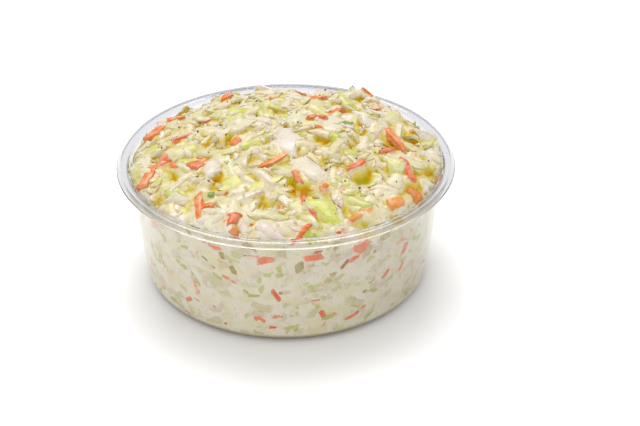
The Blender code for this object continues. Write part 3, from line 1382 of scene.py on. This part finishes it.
@dataclass
class PepperBits:
    """Ground pepper on the heap and at the wall, as small broken grains in one mesh."""

    relief: Relief
    cup: CupSizes
    finish: PepperSkin = field(default_factory=PepperSkin)
    on_heap: int = 50
    at_wall: int = 45
    size: Span = (0.2, 0.45)
    seed: int = 11

    def build(self) -> bpy.types.Object:
        """Build the grains and return them."""
        chance = np.random.default_rng(self.seed)
        deselect_all()
        bpy.ops.mesh.primitive_ico_sphere_add(subdivisions=1, radius=1.0)
        model = bpy.context.object
        grain = np.array([tuple(vertex.co) for vertex in model.data.vertices])
        faces = np.array([tuple(face.vertices) for face in model.data.polygons])
        bpy.data.objects.remove(model)
        places, corners = [], []
        for index in range(self.on_heap + self.at_wall):
            size = chance.uniform(*self.size)
            shape = grain * chance.uniform(0.5, 1.2, 3) * size
            shape = shape * (1.0 + 0.2 * chance.standard_normal((len(grain), 1)))
            turn = turned_by(*chance.uniform(0.0, math.tau, 3))
            bearing = chance.uniform(0.0, math.tau)
            if index < self.on_heap:
                radius = 52.0 * math.sqrt(chance.random())
                x, y = radius * math.cos(bearing), radius * math.sin(bearing)
                z = float(self.relief.at(self.relief.height, np.array(x), np.array(y))) + 0.1
            else:
                z = chance.uniform(3.5, 40.0)
                radius = float(self.cup.inside_radius(np.array(z))) - 0.1
                x, y = radius * math.cos(bearing), radius * math.sin(bearing)
            corners.append(faces + len(places) * len(grain))
            places.append(shape @ turn.T + np.array([x, y, z]))
        mesh = bpy.data.meshes.new("pepper_bits")
        spots = np.concatenate(places) * MM
        mesh.from_pydata(spots.tolist(), [], np.concatenate(corners).tolist())
        bits = bpy.data.objects.new("pepper_bits", mesh)
        bpy.context.scene.collection.objects.link(bits)
        dressed(bits, self.finish.material())
        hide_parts("coleslaw")
        report(bits)
        return bits


# ---------------------------------------------------------------- chosen pieces

HEAP_SPOTS = (
    Spot(Kind.RIB, 0, -9, -48, 14, 10, 3, 2),
    Spot(Kind.RIB, 7, -24, -60, 17, 7, 6, 0),
    Spot(Kind.CARROT, -28, -38, 95, 13, 3, 10, 0),
    Spot(Kind.CARROT, -30, -17, 20, 6, 5, 0, 1),
    Spot(Kind.CARROT, -46, -17, 70, 13, 4, 4, 0),
    Spot(Kind.CARROT, -41, -10, 100, 6, 4, 0, 1),
    Spot(Kind.CARROT, 11, 8, -5, 8, 2, 0, 1),
    Spot(Kind.CARROT, 12, 23, -40, 6, 4, 0, 3),
    Spot(Kind.CARROT, 37, -2, -68, 17, 3, 3, 0),
    Spot(Kind.CARROT, 23, -23, 30, 8, 3, 3, 1),
    Spot(Kind.CARROT, 34, -11, 40, 5, 4, 0, 1),
    Spot(Kind.CARROT, 40, -22, -75, 11, 3, 6, 1),
    Spot(Kind.CARROT, 43, -30, -70, 8, 4, 0, 3),
    Spot(Kind.CARROT, 35, -36, 30, 7, 4, 0, 2),
    Spot(Kind.CARROT, -47, 15, 40, 9, 4, 0, 0),
    Spot(Kind.CARROT, -40, 26, 30, 8, 3, 0, 0),
    Spot(Kind.GREEN, -16, 18, 10, 10, 6, 0, 0),
    Spot(Kind.HERB, 21, 6, 40, 5, 3, 0, 1),
    Spot(Kind.GREEN, -49, 3, 30, 10, 5, 0, 0),
    Spot(Kind.GREEN, -11, -28, 15, 15, 9, 0, 1),
    Spot(Kind.GREEN, 12, -42, -60, 12, 7, 0, 0),
    Spot(Kind.GREEN, -37, -29, 10, 6, 4, 0, 2),
    Spot(Kind.HERB, -25, -32, 10, 4, 3, 0, 1),
    Spot(Kind.RIB, -6, 45, 150, 12, 5, 14, 0),
    Spot(Kind.GREEN, 22, 46, 20, 5, 3, 0, 0),
    Spot(Kind.SHRED, 26, 46, 100, 8, 2, 50, 0),
    Spot(Kind.CARROT, 31, 43, 150, 6, 3, 20, 0),
    Spot(Kind.CARROT, 5, 46, 10, 6, 3, 0, 0),
    Spot(Kind.CARROT, -22, 40, 30, 5, 3, 0, 0),
    Spot(Kind.CARROT, -17, -7, 40, 4, 3, 0, 0),
    Spot(Kind.RIB, -23, -44, 20, 9, 6, 0, 0),
    Spot(Kind.CARROT, -17, -47, 70, 6, 3, 0, 1),
    Spot(Kind.GREEN, 5, -5, 60, 6, 4, 0, 2),
    Spot(Kind.GREEN, 16, -6, -40, 5, 3, 0, 2),
    Spot(Kind.GREEN, 25, -12, 10, 10, 5, 0, 0),
)

WALL_SPOTS = (
    WallSpot(Kind.CARROT, 8.5, 35.4, 5, 7.4, 3.2, 0, 0.0, 0.9),
    WallSpot(Kind.CARROT, 10, 37.6, 5, 3.6, 1.2, 3),
    WallSpot(Kind.GREEN, 3.9, 32.0, 40, 4.2, 3.6, 3),
    WallSpot(Kind.CARROT, 26.5, 36.0, 20, 7.6, 5.4, 0, 0.1, 0.8),
    WallSpot(Kind.CARROT, 23.5, 32.2, 10, 4.0, 2.6, 0, 0.0, 0.4),
    WallSpot(Kind.CARROT, 19.8, 30.8, 52, 5.4, 1.7, 3, 0.1, 0.5),
    WallSpot(Kind.CARROT, 46.7, 28.0, 74, 6.6, 3.0, 0, 0.05, 0.8),
    WallSpot(Kind.CARROT, 49.0, 33.0, 80, 4.0, 1.6, 2, 0.3, 0.5),
    WallSpot(Kind.CARROT, 46.1, 20.4, 62, 4.8, 1.9, 0, 0.1, 0.4),
    WallSpot(Kind.CARROT, 53.9, 17.6, 50, 2.6, 1.6, 2, 0.2, 0.4),
    WallSpot(Kind.CARROT, 37.8, 20.8, 44, 5.4, 1.5, 1, 0.0, 0.25),
    WallSpot(Kind.CARROT, 9.4, 17.6, 0, 4.4, 0.8, 0, 0.1, 0.2),
    WallSpot(Kind.CARROT, 12.7, 10.8, -64, 5.4, 2.0, 1, 0.0, 0.15, 0.2),
    WallSpot(Kind.CARROT, 13.2, 6.6, 50, 2.6, 0.8, 0, 0.2, 0.2, 0.4),
    WallSpot(Kind.CARROT, 25.7, 8.2, 26, 10.0, 1.9, 0, 0.0, 0.08, 0.9),
    WallSpot(Kind.CARROT, -26.2, 37.6, -20, 8.4, 2.4, 0, 0.15, 0.5),
    WallSpot(Kind.CARROT, -53.6, 35.6, -10, 6.0, 5.0, 2, 0.25, 0.6),
    WallSpot(Kind.GREEN, -22.8, 34.4, -75, 3.6, 2.0, 3),
    WallSpot(Kind.GREEN, -18.0, 35.8, 0, 4.6, 3.6, 1, 0.3),
    WallSpot(Kind.CARROT, -14.4, 36.2, 10, 1.6, 1.2, 3),
    WallSpot(Kind.GREEN, -19.2, 29.2, -68, 5.2, 2.2, 3, 0.1),
    WallSpot(Kind.GREEN, -30.0, 31.4, -36, 3.6, 1.1, 3),
    WallSpot(Kind.CARROT, -7.1, 35.2, 24, 8.2, 3.6, 0, 0.0, 0.5),
    WallSpot(Kind.GREEN, -7.2, 28.8, 5, 3.2, 2.0, 1),
    WallSpot(Kind.GREEN, -10.1, 26.6, 80, 4.4, 1.8, 1, 0.1),
    WallSpot(Kind.GREEN, -9.3, 22.9, 60, 3.8, 2.0, 1, 0.1),
    WallSpot(Kind.GREEN, -12.3, 19.6, 5, 4.6, 1.5, 2, 0.2),
    WallSpot(Kind.GREEN, -15.1, 20.9, -30, 2.6, 1.6, 2, 0.3),
    WallSpot(Kind.GREEN, -1.7, 28.9, 6, 4.6, 1.9, 0),
    WallSpot(Kind.CARROT, -20.9, 25.0, -24, 6.2, 1.5, 0, 0.15, 0.25),
    WallSpot(Kind.CARROT, -30.7, 23.3, -50, 2.0, 1.3, 2, 0.3, 0.5),
    WallSpot(Kind.GREEN, -35.3, 20.9, -52, 6.6, 2.0, 2, 0.3),
    WallSpot(Kind.GREEN, -43.3, 27.1, -30, 6.0, 4.4, 2, 0.5),
    WallSpot(Kind.GREEN, -40.6, 35.0, 70, 3.4, 2.4, 1, 0.3),
    WallSpot(Kind.GREEN, -49.0, 32.4, -80, 5.0, 2.6, 3, 0.5),
    WallSpot(Kind.CARROT, -4.3, 20.4, -60, 6.0, 2.0, 1, 0.0, 0.25),
    WallSpot(Kind.CARROT, -2.5, 21.4, 0, 1.8, 1.2, 3),
    WallSpot(Kind.CARROT, -28.2, 10.6, 65, 3.0, 2.0, 1, 0.05, 0.25),
    WallSpot(Kind.CARROT, -11.3, 10.6, 50, 4.4, 2.2, 0, 0.1, 0.3),
    WallSpot(Kind.CARROT, -9.8, 9.6, -40, 3.2, 1.6, 0, 0.1, 0.4),
    WallSpot(Kind.CARROT, -5.9, 6.5, 0, 3.0, 1.3, 1, 0.0, 0.4),
    WallSpot(Kind.CARROT, -24.3, 5.2, 20, 1.3, 1.1, 1),
    WallSpot(Kind.CARROT, -44.9, 4.6, -18, 9.0, 1.3, 2, 0.1, 0.2),
    WallSpot(Kind.GREEN, 10.9, 23.8, 4, 4.6, 1.5, 1, 0.1),
    WallSpot(Kind.GREEN, 5.5, 24.6, 24, 4.6, 0.8, 2),
    WallSpot(Kind.GREEN, 18.4, 25.9, 42, 4.0, 1.8, 1),
    WallSpot(Kind.GREEN, 10.3, 14.6, 80, 2.8, 1.8, 0, 0.1),
    WallSpot(Kind.GREEN, 2.7, 5.4, 30, 2.4, 2.0, 0),
    WallSpot(Kind.LEAF, 15.8, 27.6, 20, 2.8, 2.0, 3, 0.2),
    WallSpot(Kind.LEAF, 31.6, 33.0, 80, 3.0, 1.8, 3, 0.1),
    WallSpot(Kind.GREEN, 28.8, 16.8, 0, 1.8, 1.6, 3, 0.1),
)


# ---------------------------------------------------------------- the studio


@dataclass(frozen=True)
class Studio:
    """White floor, soft light and the camera."""

    aim_height: float = 0.020
    distance: float = 0.42242
    elevation: float = 31.349
    pitch: float = 31.414
    pan: float = 1.87
    roll: float = 0.159
    lens: float = 66.386
    world: float = 0.85
    lamp: float = 7.2
    lamp_size: float = 0.75
    fill: float = 2.1
    fill_size: float = 0.7

    def build_floor(self, finish: StudioWhite) -> None:
        """Lay the floor."""
        deselect_all()
        bpy.ops.mesh.primitive_circle_add(vertices=96, radius=4.0, fill_type="NGON")
        floor = bpy.context.object
        floor.name = "studio_floor"
        floor.data.materials.append(finish.material())

    def build_light(self) -> None:
        """Set up the pale world, the lamp over the back of the cup and a weak one in front."""
        world = bpy.data.worlds.new("studio")
        world.use_nodes = True
        background = world.node_tree.nodes["Background"]
        background.inputs["Color"].default_value = (1.0, 1.0, 1.0, 1.0)
        background.inputs["Strength"].default_value = self.world
        bpy.context.scene.world = world
        self._add_lamp("softbox", (-0.05, 0.46, 1.0), self.lamp, self.lamp_size)
        self._add_lamp("front_fill", (-0.5, -1.1, 0.33), self.fill, self.fill_size)

    def _add_lamp(self, name: str, place: tuple, power: float, size: float) -> None:
        """Add a round lamp that shines on the cup.

        Args:
            name: its name.
            place: where it stands, in metres.
            power: its power in watts.
            size: its diameter in metres.
        """
        data = bpy.data.lights.new(name, "AREA")
        data.shape = "DISK"
        data.size = size
        data.energy = power
        lamp = bpy.data.objects.new(name, data)
        lamp.location = place
        lamp.rotation_euler = (-Vector(place)).to_track_quat("-Z", "Y").to_euler()
        bpy.context.scene.collection.objects.link(lamp)

    def build_camera(self) -> None:
        """Set up the camera."""
        data = bpy.data.cameras.new("camera")
        data.sensor_width = 36.0
        data.lens = self.lens
        data.clip_start = 0.01
        camera = bpy.data.objects.new("camera", data)
        raised = math.radians(self.elevation)
        camera.location = (
            0.0,
            -self.distance * math.cos(raised),
            self.aim_height + self.distance * math.sin(raised),
        )
        turn = Matrix.Rotation(-math.radians(self.pan), 3, "Z")
        turn = turn @ Matrix.Rotation(math.radians(90.0 - self.pitch), 3, "X")
        turn = turn @ Matrix.Rotation(math.radians(self.roll), 3, "Z")
        camera.rotation_euler = turn.to_euler()
        bpy.context.scene.collection.objects.link(camera)
        bpy.context.scene.camera = camera

    def build(self) -> None:
        """Build all of it."""
        self.build_floor(StudioWhite())
        self.build_light()
        self.build_camera()
        bpy.context.scene.view_settings.view_transform = "Standard"


def main() -> None:
    """Build everything in order."""
    logging.basicConfig(level=logging.INFO, format="%(name)s: %(message)s")
    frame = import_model()
    cup = DeliCup()
    cup.build()
    relief = Relief(cup.sizes, frame["nodes"]["coleslaw"])
    salad = Salad(relief, cup.sizes)
    salad.fill()
    salad.strew(Kind.CRUMB, 70, 1)
    salad.place(HEAP_SPOTS)
    salad.strew(Kind.CRUMB, 220, 8)
    LOG.info("laid %d pieces on the heap", len(salad.laid))
    soft = {Kind.LEAF: (0.25, 0.7), Kind.GREEN: (0.2, 0.65), Kind.CARROT: (0.3, 0.8)}
    salad.line_wall({Kind.LEAF: 340, Kind.GREEN: 190, Kind.CARROT: 50}, soft)
    for spot in WALL_SPOTS:
        salad.press(spot)
    clear = {Kind.GREEN: (0.0, 0.3), Kind.CARROT: (0.0, 0.25)}
    salad.line_wall({Kind.GREEN: 40, Kind.CARROT: 46}, clear, (62.0, 298.0))
    salad.build({
        # Where a kind's pieces lie deep, its finish paints shade in the colour given for that.
        Kind.RIB: DressedPiece("rib_flesh"),
        Kind.LEAF: DressedPiece("leaf_flesh"),
        Kind.SHRED: DressedPiece("shred_flesh"),
        Kind.GREEN: DressedPiece("green_flesh", coat_share=(0.0, 0.32), painted_sunk_shade=srgb(164, 158, 22)),
        Kind.CARROT: DressedPiece(
            "carrot_flesh", coat_share=(0.0, 0.28), fibre=srgb(220, 134, 50),
            painted_sunk_shade=srgb(186, 66, 3),
        ),
        Kind.HERB: DressedPiece("herb_flesh", coat_share=(0.0, 0.2), painted_sunk_shade=srgb(55, 83, 8)),
        Kind.CRUMB: DressedPiece("crumb_flesh"),
    })
    SaladBody(cup, relief).build()
    PepperBits(relief, cup.sizes).build()
    Studio().build()


if __name__ == "__main__":
    main()
